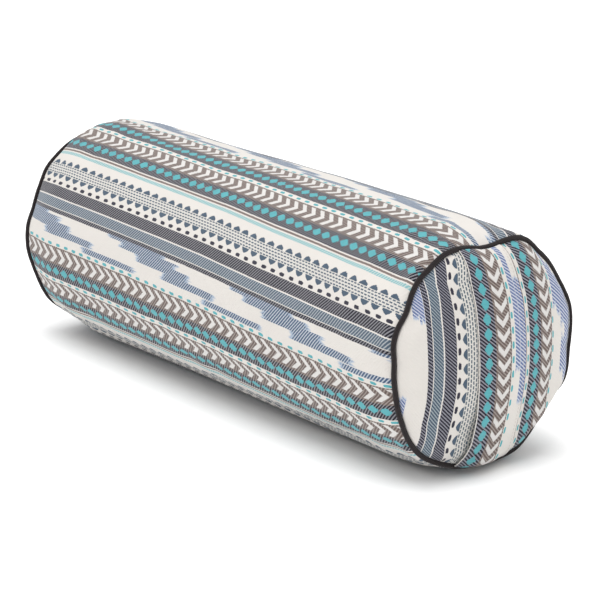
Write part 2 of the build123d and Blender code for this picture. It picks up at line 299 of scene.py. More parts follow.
# ------------------------------------------------------------------ shader graph helper
class Graph:
    def __init__(self, name):
        self.mat = bpy.data.materials.new(name)
        self.mat.use_nodes = True
        self.nt = self.mat.node_tree
        self.nt.nodes.clear()
        self.out = self.nt.nodes.new("ShaderNodeOutputMaterial")
        self.bsdf = self.nt.nodes.new("ShaderNodeBsdfPrincipled")
        self.nt.links.new(self.bsdf.outputs[0], self.out.inputs[0])

    def put(self, socket, value):
        if isinstance(value, bpy.types.NodeSocket):
            self.nt.links.new(value, socket)
        else:
            socket.default_value = value

    def m(self, op, *args, clamp=False):
        n = self.nt.nodes.new("ShaderNodeMath")
        n.operation = op
        n.use_clamp = clamp
        for i, a in enumerate(args):
            self.put(n.inputs[i], a)
        return n.outputs[0]

    def add(self, a, b): return self.m("ADD", a, b)
    def sub(self, a, b): return self.m("SUBTRACT", a, b)
    def mul(self, a, b): return self.m("MULTIPLY", a, b)
    def div(self, a, b): return self.m("DIVIDE", a, b)
    def mod(self, a, b): return self.m("FLOORED_MODULO", a, b)
    def abs(self, a): return self.m("ABSOLUTE", a)
    def lo(self, a, b): return self.m("MINIMUM", a, b)
    def hi(self, a, b): return self.m("MAXIMUM", a, b)

    def step(self, x, a, b):
        """0 below a, 1 above b (a < b), or the other way when a > b."""
        n = self.nt.nodes.new("ShaderNodeMapRange")
        n.interpolation_type = "SMOOTHSTEP"
        n.clamp = True
        self.put(n.inputs[0], x)
        n.inputs[1].default_value, n.inputs[2].default_value = (a, b) if a < b else (b, a)
        n.inputs[3].default_value, n.inputs[4].default_value = (0.0, 1.0) if a < b else (1.0, 0.0)
        return n.outputs[0]

    def line(self, x, a, b, c=0.0, d=1.0):
        n = self.nt.nodes.new("ShaderNodeMapRange")
        n.clamp = True
        self.put(n.inputs[0], x)
        for i, v in enumerate((a, b, c, d)):
            self.put(n.inputs[i + 1], v)
        return n.outputs[0]

    def between(self, x, a, b, soft=0.25):
        return self.mul(self.step(x, a - soft, a + soft), self.step(x, b + soft, b - soft))

    def mix(self, f, a, b):
        n = self.nt.nodes.new("ShaderNodeMix")
        n.data_type = "RGBA"
        n.clamp_factor = True
        self.put(n.inputs[0], f)
        for s, v in ((n.inputs[6], a), (n.inputs[7], b)):
            self.put(s, v if isinstance(v, bpy.types.NodeSocket) else (*v, 1.0)[:4])
        return n.outputs[2]

    def ramp(self, x, stops, constant=True):
        n = self.nt.nodes.new("ShaderNodeValToRGB")
        r = n.color_ramp
        r.interpolation = "CONSTANT" if constant else "LINEAR"
        while len(r.elements) > 1:
            r.elements.remove(r.elements[-1])
        first = True
        for p, c in stops:
            e = r.elements[0] if first else r.elements.new(p)
            first = False
            e.position = p
            e.color = (*c, 1.0)[:4]
        self.put(n.inputs[0], x)
        return n.outputs[0]

    def uv(self, name="Weave"):
        n = self.nt.nodes.new("ShaderNodeUVMap")
        n.uv_map = name
        s = self.nt.nodes.new("ShaderNodeSeparateXYZ")
        self.nt.links.new(n.outputs[0], s.inputs[0])
        return s.outputs[0], s.outputs[1]

    def vec(self, x, y, z=0.0):
        n = self.nt.nodes.new("ShaderNodeCombineXYZ")
        for i, v in enumerate((x, y, z)):
            self.put(n.inputs[i], v)
        return n.outputs[0]

    def noise(self, vector, scale=1.0, detail=2.0, rough=0.5):
        n = self.nt.nodes.new("ShaderNodeTexNoise")
        n.inputs["Scale"].default_value = scale
        n.inputs["Detail"].default_value = detail
        n.inputs["Roughness"].default_value = rough
        if vector is not None:
            self.nt.links.new(vector, n.inputs["Vector"])
        return n.outputs[0]

    def obj(self):
        return self.nt.nodes.new("ShaderNodeTexCoord").outputs["Object"]

    def gain(self, colour, f):
        """colour times f."""
        n = self.nt.nodes.new("ShaderNodeVectorMath")
        n.operation = "SCALE"
        self.put(n.inputs[0], colour)
        self.put(n.inputs[3], f)
        return n.outputs[0]

    def bump(self, height, distance_mm, strength=1.0):
        n = self.nt.nodes.new("ShaderNodeBump")
        n.inputs["Strength"].default_value = strength
        n.inputs["Distance"].default_value = distance_mm * MM
        self.put(n.inputs["Height"], height)
        self.nt.links.new(n.outputs[0], self.bsdf.inputs["Normal"])

    def set(self, **kw):
        for k, v in kw.items():
            self.put(self.bsdf.inputs[k.replace("_", " ")], v)
        return self


def lin(r, g, b, k=1.0):
    out = []
    for c in (r, g, b):
        c /= 255.0
        out.append(k * (c / 12.92 if c <= 0.04045 else ((c + 0.055) / 1.055) ** 2.4))
    return tuple(out)


# ------------------------------------------------------------------ the striped jacquard
BANDS = [  # from, dark thread, light thread, of the stripes across one repeat
    (0.0, "cream", "cream"), (4.0, "brown", "brown_l"), (21.8, "char", "char_l"), (38.0, "cream", "cream"),
    (43.9, "brown", "brown_l"), (61.7, "char", "char_l"), (77.5, "cream", "cream"), (79.0, "line", "line"),
    (81.0, "cream", "cream"), (82.5, "aqua_d", "aqua_l"), (85.5, "cream", "cream"), (98.5, "rowbase", "rowbase"),
    (110.0, "cream", "cream"), (122.1, "char", "char_l"), (133.1, "cream", "cream"), (134.4, "slate", "slate_l"),
    (144.1, "cream", "cream"), (145.4, "char", "char_l"), (149.4, "cream", "cream"),
]
PAINT = dict(
    cream=lin(234, 229, 223), brown=lin(108, 93, 88), brown_l=lin(174, 163, 156), char=lin(26, 25, 38),
    char_l=lin(162, 161, 167), line=lin(132, 118, 112), aqua_d=lin(140, 190, 195), aqua_l=lin(214, 226, 222),
    rowbase=lin(226, 223, 217), slate=lin(76, 94, 112), slate_l=lin(192, 198, 202), aqua=lin(94, 178, 186),
    white=lin(228, 225, 222), tri=lin(76, 94, 112), navy=lin(52, 50, 64), row=lin(78, 92, 110),
    ikat=lin(66, 90, 122), ikat_l=lin(220, 226, 232), ikat_edge=lin(172, 190, 212),
)
MEASURED = dict(chA=1.8, chB=1.2, dashA=3.9, dashB=1.5, dA=-3.0, dB=7.0, triU=2.0, triD=0.0, navy=6.5, rows=0.0)
BODY_IKAT = dict(period=203.0, start=-142.0, rows=[
    (149.4, 152.4, [(0, 99)]), (152.4, 157.9, [(22, 122)]), (157.9, 164.9, [(51, 143)]), (164.9, 171.9, [(95, 185)]),
    (172.7, 178.2, [(163, 258)]),
])


def jacquard(name, at=None, ikat=None, tone=None, k=0.80, twill=(3.35, 3.9)):
    """One cloth: stripes by V, motifs by U, both in mm on the map named Weave."""
    at = {**MEASURED, **(at or {})}
    paint = {**PAINT, **(tone or {})}
    paint = {a: tuple(k * c for c in b) for a, b in paint.items()}
    g = Graph(name)
    U, V0 = g.uv()
    # every thread across the cloth sits a little off its place
    thread = g.m("FLOOR", g.div(V0, 0.93))
    pick = g.m("FLOOR", g.div(U, 1.15))
    wob = g.noise(g.vec(g.mul(U, 0.02), g.mul(V0, 0.02)), 1.0, 2.0)
    jit = g.sub(g.noise(g.vec(g.mul(pick, 0.83), g.mul(thread, 0.09)), 1.0, 1.0), 0.5)
    jit2 = g.sub(g.noise(g.vec(g.mul(thread, 0.77), g.mul(pick, 0.11)), 1.0, 1.0), 0.5)
    V = g.mod(g.add(V0, g.mul(jit, 0.9)), PERIOD)
    Vs = g.mul(thread, 0.93)
    Uq = g.add(g.mul(g.add(pick, 0.5), 0.69), g.mul(U, 0.4))  # edges follow the picks, half softened
    # twill: light and dark diagonals stepped thread by thread
    p = g.m("FRACT", g.add(g.div(g.add(U, g.mul(jit2, 0.5)), twill[0]), g.div(Vs, twill[1])))
    tri = g.mul(g.abs(g.sub(p, 0.5)), 2.0)
    ridge = g.m("SINE", g.mul(V0, 6.2832 / 0.93))
    thin = g.line(ridge, -1.0, 0.4, 0.6, 1.0)
    light = g.mul(g.step(tri, 0.56, 0.68), thin)
    fac = g.div(V, PERIOD)
    col = g.mix(light, g.ramp(fac, [(a / PERIOD, paint[d]) for a, d, _ in BANDS]),
                g.ramp(fac, [(a / PERIOD, paint[l]) for a, _, l in BANDS]))
    # how far the cloth floats there, for the relief
    relief = g.mul(light, 0.6)

    def du(c):
        return g.sub(g.mod(g.add(g.sub(g.add(Uq, g.mul(jit2, 1.1)), c), MOTIF / 2), MOTIF), MOTIF / 2)

    def over(mask, colour, lift=0.8, vary=0.12):
        nonlocal col, relief
        f = g.add(g.mul(jit, vary * 2), 1.0)
        col = g.mix(mask, col, g.gain(g.mix(0.0, paint[colour], paint[colour]), f))
        relief = g.hi(relief, g.mul(mask, lift))

    # diamonds
    for c, v0 in ((at["dA"], 29.7), (at["dB"], 68.9)):
        a = g.m("POWER", g.div(g.abs(g.add(du(c), g.mul(jit2, 1.2))), 6.0), 1.2)
        b = g.m("POWER", g.div(g.abs(g.sub(g.add(V, g.mul(jit, 1.6)), v0)), 4.2), 1.2)
        over(g.step(g.add(a, b), 1.1, 0.93), "aqua", 1.0, 0.16)
    # chevrons
    for c, v0 in ((at["chA"], 12.9), (at["chB"], 52.8)):
        dv = g.abs(g.sub(V, v0))
        w = g.mod(g.sub(g.add(g.add(Uq, g.mul(jit2, 1.2)), g.mul(dv, 1.12)), c), MOTIF)
        over(g.mul(g.between(w, MOTIF - 6.6, MOTIF - 0.4, 0.35), g.step(g.add(dv, g.mul(jit2, 1.8)), 7.6, 6.8)), "white", 0.9, 0.08)
    # dashes on the cream lines
    for c, v0 in ((at["dashA"], 2.0), (at["dashB"], 41.2)):
        a = g.m("POWER", g.div(g.abs(du(c)), 3.4), 3.0)
        b = g.m("POWER", g.div(g.abs(g.sub(V, v0)), 1.4), 3.0)
        over(g.step(g.add(a, b), 1.15, 0.85), "aqua", 0.9, 0.2)
    # rounded triangles, up and down
    for c, lo, hi, up in ((at["triU"], 93.5, 98.5, True), (at["triD"], 110.0, 115.3, False)):
        t = g.line(V, lo, hi, 1.0 if up else 0.0, 0.0 if up else 1.0)
        half = g.add(g.mul(g.m("POWER", g.sub(1.0, g.mul(t, t)), 0.85), 5.5), g.mul(jit, 1.8))
        over(g.mul(g.step(g.sub(half, g.abs(du(c))), -0.1, 0.5), g.between(V, lo, hi, 0.15)), "tri", 0.9, 0.25)
    # dark dashes beside the wide charcoal stripe
    a = g.m("POWER", g.div(g.abs(du(at["navy"])), 3.4), 3.0)
    b = g.m("POWER", g.div(g.abs(g.sub(V, 119.3)), 1.75), 3.0)
    over(g.step(g.add(a, b), 1.15, 0.85), "navy", 0.9, 0.25)
    # four fine rows of dashes
    q = g.div(g.sub(V, 98.5), 2.875)
    odd = g.mod(g.m("FLOOR", q), 2.0)
    w = g.abs(g.sub(g.m("FRACT", g.add(g.div(g.sub(U, at["rows"]), 4.667), g.mul(odd, 0.5))), 0.5))
    f = g.m("FRACT", q)
    over(g.mul(g.mul(g.step(w, 0.38, 0.32), g.between(f, 0.28, 0.74, 0.08)), g.between(V, 98.6, 110.0, 0.1)), "row", 0.5, 0.3)
    # faded dyed blocks between the stripes
    if ikat:
        feather = g.mul(g.sub(g.noise(g.vec(g.mul(U, 0.03), g.mul(thread, 0.9)), 1.0, 2.0), 0.5), 60.0)
        body = None
        for lo, hi, spans in ikat["rows"]:
            inside = g.between(V, lo, hi, 0.2)
            for a0, a1 in spans:
                if ikat.get("period"):
                    x = g.mod(g.sub(g.add(U, g.mul(feather, 0.35)), ikat["start"] + a0), ikat["period"])
                    on = g.mul(g.step(x, 0.0, 14.0), g.step(x, a1 - a0 + 6, a1 - a0 - 10))
                else:
                    x = g.add(U, g.mul(feather, 0.35))
                    on = g.mul(g.step(x, a0 - 4, a0 + 5), g.step(x, a1 + 4, a1 - 5))
                part = g.mul(inside, on)
                body = part if body is None else g.hi(body, part)
        dyed = g.mix(light, paint["ikat"], paint["ikat_l"])
        soft = g.mix(g.step(body, 0.35, 0.9), paint["ikat_edge"], dyed)
        col = g.mix(g.step(body, 0.02, 0.5), col, soft)
    # plain weave of the ground, soft unevenness of the yarn
    weave = g.mul(g.add(ridge, g.m("SINE", g.mul(U, 6.2832 / 1.15))), 0.5)
    col = g.gain(col, g.add(g.add(1.0, g.mul(weave, 0.025)), g.mul(g.sub(wob, 0.5), 0.05)))
    g.set(Base_Color=col, Roughness=0.86, Sheen_Weight=0.18, Sheen_Roughness=0.5)
    g.bsdf.inputs["Specular IOR Level"].default_value = 0.22
    g.bump(g.add(relief, g.mul(weave, 0.28)), 0.30, 0.8)
    return g.mat


# ------------------------------------------------------------------ other materials
def plain_cloth(name, colour, colour2, thread_mm, rough=0.9, relief=0.25, sheen=0.25):
    g = Graph(name)
    U, V = g.uv()
    a = g.m("SINE", g.mul(U, 6.2832 / thread_mm))
    b = g.m("SINE", g.mul(V, 6.2832 / thread_mm))
    w = g.mul(a, b)
    slub = g.noise(g.vec(g.mul(U, 0.05), g.mul(V, 0.6)), 1.0, 3.0)
    f = g.add(g.mul(w, 0.22), g.mul(g.sub(slub, 0.5), 0.9))
    col = g.mix(g.line(f, -0.5, 0.5), colour, colour2)
    g.set(Base_Color=col, Roughness=rough, Sheen_Weight=sheen, Sheen_Roughness=0.5)
    g.bsdf.inputs["Specular IOR Level"].default_value = 0.2
    g.bump(g.add(w, g.mul(slub, 0.6)), relief, 0.8)
    return g.mat


def spun(name, colour, colour2, scale=900.0, rough=0.8, metal=0.0, relief=0.08, spec=0.3, sheen=0.0):
    """A material that needs no map: fine grain in the object's own space."""
    g = Graph(name)
    n = g.noise(g.obj(), scale, 3.0, 0.6)
    n2 = g.noise(g.obj(), scale * 0.07, 2.0, 0.5)
    col = g.mix(g.line(g.add(g.mul(n, 0.7), g.mul(n2, 0.3)), 0.35, 0.65), colour, colour2)
    g.set(Base_Color=col, Roughness=rough, Metallic=metal)
    g.bsdf.inputs["Specular IOR Level"].default_value = spec
    g.bsdf.inputs["Sheen Weight"].default_value = sheen
    g.bump(n, relief, 0.7)
    return g.mat


M_BODY = jacquard("jacquard_body", ikat=BODY_IKAT)
VIOLET = dict(ikat=lin(96, 114, 162), ikat_l=lin(234, 238, 246), ikat_edge=lin(178, 194, 218),
              char=lin(24, 24, 40), char_l=lin(168, 168, 180), slate=lin(66, 86, 104), slate_l=lin(182, 192, 198), row=lin(74, 92, 106))
M_LEFT = jacquard("jacquard_end_left", twill=(3.35, 3.1), at=dict(navy=-3.3, triD=0.25, rows=1.0, dashB=0, dB=2, chB=3), tone=VIOLET,
                  ikat=dict(rows=[(150.0, 154.5, [(-110, -36)]), (154.5, 160.0, [(-110, -40)]), (168.0, 174.0, [(36, 60)])]))
M_RIGHT = jacquard("jacquard_end_right", twill=(3.8, 4.4), at=dict(dashB=4.1, dA=7.2, chA=-0.3, dashA=3.1, chB=1.0), tone=VIOLET,
                   ikat=dict(rows=[(173.0, 178.0, [(-80, -24)]), (167.0, 173.0, [(-64, -14)]),
                                   (160.0, 167.0, [(-52, -4), (10, 42)]), (149.4, 160.0, [(-38, 52)])]))
M_FLAP = jacquard("jacquard_flap", twill=(3.7, 4.0), at=dict(dA=0.0, chA=-2.8, dashA=1.0), tone=VIOLET,
                  ikat=dict(rows=[(172.0, 178.0, [(-120, 26)]), (164.0, 171.6, [(-58, 60)])]))
M_FAR = jacquard("jacquard_end_far", tone=VIOLET, ikat=dict(BODY_IKAT, start=-60.0))
M_PIPE = plain_cloth("piping_bias_cloth", lin(22, 17, 18), lin(50, 43, 44), 0.9, 0.88, 0.2, 0.08)
M_CORD = spun("cotton_cord_twist", lin(214, 206, 190), lin(236, 230, 218), 700, 0.9)
M_TAPE = plain_cloth("zip_tape_weave", lin(40, 38, 44), lin(78, 75, 84), 0.8, 0.85, 0.2, 0.1)
M_COIL = spun("zip_coil_nylon", lin(44, 42, 48), lin(64, 62, 70), 600, 0.38, spec=0.5, relief=0.03)
M_METAL = spun("zip_metal_brushed", lin(120, 119, 122), lin(178, 176, 178), 1600, 0.34, metal=1.0, relief=0.04, spec=0.5)
M_THREAD = spun("thread_spun", lin(70, 66, 70), lin(112, 106, 108), 1500, 0.75, relief=0.06)
M_THREAD_L = spun("thread_spun_pale", lin(168, 156, 148), lin(206, 198, 190), 1500, 0.75, relief=0.06)
M_LINER = plain_cloth("liner_calico", lin(222, 214, 198), lin(240, 234, 222), 0.7, 0.92, 0.15, 0.2)
M_FILL = spun("cotton_fill_fibres", lin(226, 221, 208), lin(246, 243, 234), 260, 0.95, relief=0.8)


def give(o, *mats):
    o.data.materials.clear()
    for m in mats:
        o.data.materials.append(m)


# ------------------------------------------------------------------ body of the cover
def body_radius(x, phi):
    """Radius of the cover's tube at x, round the axis, before it settles on the floor."""
    dn, df = 293.45 - x, x + 297.85
    out = np.zeros(np.broadcast(x, phi).shape)
    r = R_BODY + out
    for d, table, seed in ((dn, RING_N, 11), (df, RING_F, 12)):
        ease = R_BODY - 111.6
        k = np.clip((60.0 - d) / 48.0, 0, 1)
        drop = ease * k**2
        t = np.clip((12.0 - d) / 12.0, 0, 1)
        drop = drop + 5.8 * t**2
        edge = ring(table, phi) - 108.2
        pull = edge * (0.75 * np.exp(-((d / 15.0) ** 2)) + 0.25 * np.exp(-((d / 45.0) ** 2)))
        pucker = 0.55 * noise1(phi + out, seed, 9, 14, 34) * np.exp(-(((d - 7.0) / 9.0) ** 2)) * np.clip(d / 4.0, 0, 1)
        r = r - drop + pull + pucker
        if seed == 12:
            pf = (np.degrees(phi) + 9 + 180) % 360 - 180
            r = r + 4.4 * np.exp(-((pf / 21.0) ** 4)) * np.clip(d / 7.0, 0, 1) * np.exp(-((d / 45.0) ** 2))
            pf = (np.degrees(phi) + 95 + 180) % 360 - 180
            r = r - 1.6 * np.exp(-((pf / 50.0) ** 4)) * np.clip(d / 5.0, 0, 1) * np.exp(-((d / 30.0) ** 2))
    # it has settled a little: lower on top and towards the back
    pd = (np.degrees(phi) - 25 + 180) % 360 - 180
    r = r - 2.2 * np.exp(-((pd / 45.0) ** 2)) * np.clip(dn / 30, 0, 1) * np.clip(df / 30, 0, 1)
    r = r + 0.7 * np.sin(x / 61.0 + 2.0 * np.sin(phi)) * np.sin(1.7 + 2 * phi) * np.clip(dn / 60, 0, 1) * np.clip(df / 60, 0, 1)
    return r


def settle(z, lift=0.35):
    """Flattens what would sink under the floor, with a short soft knee."""
    k = 1.6
    t = z - lift
    return lift + np.where(t > k, t, np.where(t < -k, 0.0, (t + k) ** 2 / (4 * k)))


SEAM_PHI = math.radians(150)  # where the body's own seam runs, low at the back
NP_B = 180
d_end = np.array([0, 1.2, 2.6, 4.4, 6.6, 9.2, 12.2, 15.8, 20, 25, 30.5, 36.5, 43])
mid = np.linspace(49, 591.3 - 49, 78)
xs_b = np.r_[-297.85 + d_end, -297.85 + mid, 293.45 - d_end[::-1]]
phi_b = SEAM_PHI - 2 * math.pi * np.arange(NP_B) / NP_B  # from the seam, round over the top to the camera side and under
XB, PB = np.meshgrid(xs_b, phi_b, indexing="ij")
RB = body_radius(XB, PB)
body_co = np.stack([XB, RB * np.sin(PB), settle(H + RB * np.cos(PB))], -1).reshape(-1, 3)
faces = grid_faces(len(xs_b), NP_B, wrap_v=True)


# the cloth isn't quite straight on the roll: how far its motifs lie along the axis from an even grid, by V and x
WARP_X = np.array([-230, -150, -70, 10, 90, 170, 245.0])
WARP_V = np.array([13, 30, 53, 69, 96, 113, 181, 192, 209, 232.0])
WARP_U = np.array([
    [3.2, 5.0, 7.0, 5.5, -0.2, 0.0, -5.4], [1.0, 1.0, 4, 1.2, -3.3, -4.7, -9.0], [-4, -1.5, 1, -1.0, -4, -5, -7],
    [-5, -2.4, 0.4, -2, -4.4, -4.9, -5.9], [-5, -3, -0.5, -1.5, -2, -1, -1.5], [-6.5, -5, -1.5, -1, -2, -1, -2.5],
    [-11, -8.5, -4, -0.5, -0.5, 1.5, 4], [-8, -6, -0.8, 2.5, 2.4, 4.8, 7.7], [-11, -8.2, -3, 1, 0.5, 2, 5.5],
    [-9, -6, 0, 3.5, 4, 6, 7.5],
])
SHIFT_X = WARP_X
SHIFT_V = np.array([15, 55, 95, 135, 175, 210.0])
SHIFT = np.array([
    [4.6, 3.9, 3.4, 2.5, 3.4, 2.0, 0.6], [2.5, 2.0, 2.0, 1.1, 2.4, 2.0, 1.5], [2.4, 2.0, 1.5, 1.0, 2.4, 2.4, 2.0],
    [1.8, 1.0, 0.5, 0.0, 1.4, 1.5, 1.4], [1.5, 0.6, 0.0, -0.4, 0.5, 1.0, 0.5], [3.8, 3.2, 2.0, -0.7, 1.2, 3.2, 0.5],
])


def table2(tv, tx, tab, v, x):
    row = np.array([np.interp(x, tx, r) for r in tab])
    return float(np.interp(v, tv, row))


def body_uv(i, j):
    x = xs_b[i]
    theta = -(SEAM_PHI - 2 * math.pi * j / NP_B)
    v = 1.2 + 115.0 * theta - (0.03763 * x + 3.01e-5 * x * x)
    v = v - table2(SHIFT_V, SHIFT_X, SHIFT, v, x)
    return x - table2(WARP_V, WARP_X, WARP_U, v, x), v


uv = []
for i in range(len(xs_b) - 1):
    for j in range(NP_B):
        uv += [body_uv(i, j), body_uv(i + 1, j), body_uv(i + 1, j + 1), body_uv(i, j + 1)]
body = mesh("body_panel", body_co, faces, uv)
pin = np.zeros(len(body_co))
edge_i = np.minimum(np.arange(len(xs_b)), len(xs_b) - 1 - np.arange(len(xs_b)))
w_row = np.where(edge_i == 0, 1.0, np.where(edge_i < 4, 0.35, 0.12))
pin = np.repeat(w_row, NP_B)
inflate(body, pin, 1.5, pressure=0.03, shrink=-0.012, bending=0.3, tension=40, grid=(len(xs_b), NP_B))


def below_floor(o, lift=0.3):
    c = co_of(o)
    c[:, 2] = settle(c[:, 2] / MM, lift) * MM
    set_co(o, c)


below_floor(body)


def seam_groove(o):
    c = co_of(o) / MM
    phi = np.arctan2(c[:, 1], c[:, 2] - H)
    d = np.abs((phi - SEAM_PHI + math.pi) % (2 * math.pi) - math.pi) * R_BODY
    k = 1 - 0.9 * np.exp(-((d / 1.6) ** 2)) / R_BODY
    keep = c[:, 2] > 1.0
    c[keep, 1] *= k[keep]
    c[keep, 2] = H + (c[keep, 2] - H) * k[keep]
    set_co(o, c * MM)


seam_groove(body)
thicken(body, 1.2, offset=-1, levels=1)
below_floor(body, 0.25)
give(body, M_BODY)
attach(body, "pillow")
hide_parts("cover_body_panel")

# ------------------------------------------------------------------ arc length over the near dome, for U and V
gy = np.arange(-114, 115, 1.0)
GY, GZ = np.meshgrid(gy, gy, indexing="ij")
GX = near_x(GY, GZ + H)
dxz = np.clip(np.gradient(GX, 1.0, axis=1), -1.6, 1.6)
dxy = np.clip(np.gradient(GX, 1.0, axis=0), -1.6, 1.6)
mid_i = 114
SZ = np.cumsum(np.sqrt(1 + dxz**2), axis=1)
SZ -= SZ[:, mid_i : mid_i + 1]
SY = np.cumsum(np.sqrt(1 + dxy**2), axis=0)
SY -= SY[mid_i : mid_i + 1, :]


def look(table, y, z):
    a, b = np.clip(np.asarray(y) + 114, 0, 227.999), np.clip(np.asarray(z) + 114, 0, 227.999)
    i, j = a.astype(int), b.astype(int)
    fa, fb = a - i, b - j
    return (table[i, j] * (1 - fa) * (1 - fb) + table[i + 1, j] * fa * (1 - fb)
            + table[i, j + 1] * (1 - fa) * fb + table[i + 1, j + 1] * fa * fb)


# heights at which the stripes' places are given, from the axis, top to bottom, and the places themselves across the end
ROWS = np.array([96.5, 76.5, 51.5, 26.5, 1.5, -23.5, -48.5, -73.5, -91.0])
FOLD_Y = np.array([-32.7, -31.5, -28.7, -27.7, -27.0, -26.5, -25.5, -27.2, -32.5])
SEAM_Y = np.array([15.5, 20.0, 25.0, 26.7, 27.5, 27.5, 26.0, 24.2, 24.0])
LEFT_V = np.array([149.4, 144.75, 133.75, 122.1, 110.0])
LEFT_Y = np.array([
    [-82.0, -79.0, -80.0, -80.5, -79.7, -80.2, -82.0, -79.5, -76.0],
    [-72.5, -74.0, -75.0, -74.5, -74.0, -74.5, -77.2, -74.7, -71.0],
    [-58.5, -65.7, -65.2, -64.2, -63.7, -64.0, -66.5, -66.5, -62.2],
    [-50.2, -56.0, -52.5, -51.5, -51.0, -51.2, -53.2, -56.0, -51.0],
    [-41.0, -46.0, -42.0, -41.0, -40.5, -40.5, -42.5, -45.7, -43.5],
])
PAR_Y, PAR_Z = 0.78, -0.374  # how far a raised point seems to move across the end, per mm


def at_rows(values, z):
    return np.interp(-np.asarray(z), -ROWS, values)


def left_v(y, z):
    lines = np.array([at_rows(LEFT_Y[k], z) for k in range(5)])
    v = np.empty_like(y)
    s = look(SY, y, z)
    sl = np.array([look(SY, lines[k], z) for k in range(5)])
    for n in range(len(y)):
        a, b = sl[:, n], LEFT_V
        if s[n] < a[0]:
            v[n] = b[0] + (a[0] - s[n])
        elif s[n] > a[-1]:
            v[n] = b[-1] - (s[n] - a[-1])
        else:
            v[n] = np.interp(s[n], a, b)
    return v


RIGHT_D = np.array([-30.0, 0, 2.25, 4.1, 6.5, 15.6, 22.5, 30.9, 38.4, 40.9])
RIGHT_V = np.array([76.5, 46.5, 43.9, 41.4, 38.0, 29.6, 21.8, 12.9, 4.0, 0.0])


def seam_true(z):
    return at_rows(SEAM_Y, z) - 0.8


def right_v(y, z):
    d = look(SY, y, z) - look(SY, seam_true(z), z)
    ref = look(SY, 0 * y + 45.0, z) - look(SY, seam_true(z), z)
    d = d * np.clip((45.0 - seam_true(z)) / np.maximum(ref, 1), 0.9, 1.0)
    return np.where(d > 40.9, -(d - 40.9), np.interp(d, RIGHT_D, RIGHT_V))


def near_u(y, z):
    return (look(SZ, y, 0 * z + 12.0) - look(SZ, y, z)) * 1.03


def disc(name, point, uvfun, cut=None, levels=1, side=1):
    """An end panel as rings and spokes. cut=(axis y value, keep above?) leaves the part beyond the zip."""
    K, N = 40, 180
    s_all = np.linspace(0, 1, 801)
    prof = np.r_[0, np.cumsum(np.hypot(np.diff(s_all * R_RIM), np.diff(dome(s_all * R_RIM))))]
    s_k = np.interp(np.linspace(0, prof[-1], K + 1)[1:], prof, s_all)
    s_k[-1] = 1.0
    ph = 2 * math.pi * np.arange(N) / N
    S, P = np.meshgrid(s_k, ph, indexing="ij")
    x, y, z = point(S, P)
    co = np.stack([x, y, z], -1).reshape(-1, 3)
    c0 = point(np.array([0.0]), np.array([0.0]))
    co = np.r_[co, [[c0[0][0], 0, H]]]
    f = grid_faces(K, N, wrap_v=True)
    f += [(len(co) - 1, j, (j + 1) % N) for j in range(N)]
    if side < 0:
        f = [q[::-1] for q in f]
    f = [q[::-1] for q in f]
    o = mesh(name, co, f)
    if cut is not None:
        value, above = cut
        bm = bmesh.new()
        bm.from_mesh(o.data)
        bmesh.ops.bisect_plane(bm, geom=bm.verts[:] + bm.edges[:] + bm.faces[:], dist=1e-6,
                               plane_co=(0, value * MM, 0), plane_no=(0, 1, 0),
                               clear_outer=not above, clear_inner=above)
        bm.to_mesh(o.data)
        bm.free()
    me = o.data
    c = co_of(o) / MM
    r = np.hypot(c[:, 1], c[:, 2] - H)
    phi = np.arctan2(c[:, 1], c[:, 2] - H)
    rim = point(np.ones_like(phi), phi)
    rr = np.hypot(rim[1], rim[2] - H)
    pin = np.where(r > rr - 0.6, 1.0, np.where(r > rr - 5, 0.3, 0.08))
    if cut is not None:
        pin = np.where(np.abs(c[:, 1] - cut[0]) < 0.3, 1.0, pin)
    inflate(o, pin, 0.8, pressure=0.05, shrink=-0.012, bending=0.3, tension=40)
    # cloth coordinates from the designed place of each point
    uvs = uvfun(c[:, 1], c[:, 2] - H)
    layer = me.uv_layers.new(name="Weave")
    loops = np.zeros(len(me.loops), int)
    me.loops.foreach_get("vertex_index", loops)
    layer.data.foreach_set("uv", np.stack([uvs[0][loops], uvs[1][loops]], -1).astype(np.float32).ravel())
    return o


near_left = disc("end_panel_near_left", near_xy, lambda y, z: (near_u(y, z), left_v(y, z)), cut=(-5.0, False))
near_right = disc("end_panel_near_right", near_xy, lambda y, z: (near_u(y, z), right_v(y, z)), cut=(5.0, True))


def far_xy(s, phi):
    edge = ring(RING_F, phi) - 2.4
    rr = s * R_RIM + (edge - R_RIM) * s**6
    x = X_RIM_F - (dome(s * R_RIM) - X_RIM_N) - 0.5 * noise1(phi, 5, 8, 9, 26) * np.exp(-(((1 - s) / 0.12) ** 2)) * (1 - s**30)
    return x, rr * np.sin(phi), H + rr * np.cos(phi)


far_end = disc("end_panel_far", far_xy, lambda y, z: (-look(SZ, y, z) * 1.03, 60.0 + look(SY, y, z)), side=-1)


def wrap_rows(o):
    """Under the flap's edge the fine rows of dashes go on to the zip."""
    me = o.data
    layer = me.uv_layers["Weave"]
    uv = np.zeros(len(me.loops) * 2)
    layer.data.foreach_get("uv", uv)
    uv = uv.reshape(-1, 2)
    for p in me.polygons:
        ls = list(p.loop_indices)
        vc = uv[ls, 1].mean()
        if vc < 98.7:
            uv[ls, 1] += 5.75 * math.ceil((98.7 - vc) / 5.75)
    layer.data.foreach_set("uv", uv.ravel())


wrap_rows(near_left)
for o, node, mat, flat, area in (
    (near_left, "cover_end_near_left", M_LEFT, (0.115, 0.232), 0.0195),
    (near_right, "cover_end_near_right", M_RIGHT, (0.115, 0.232), 0.0195),
    (far_end, "cover_end_far", M_FAR, (0.232, 0.232), 0.0420),
):
    thicken(o, 1.2, offset=-1, levels=1)
    give(o, mat)
    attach(o, "pillow")
    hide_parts(node)


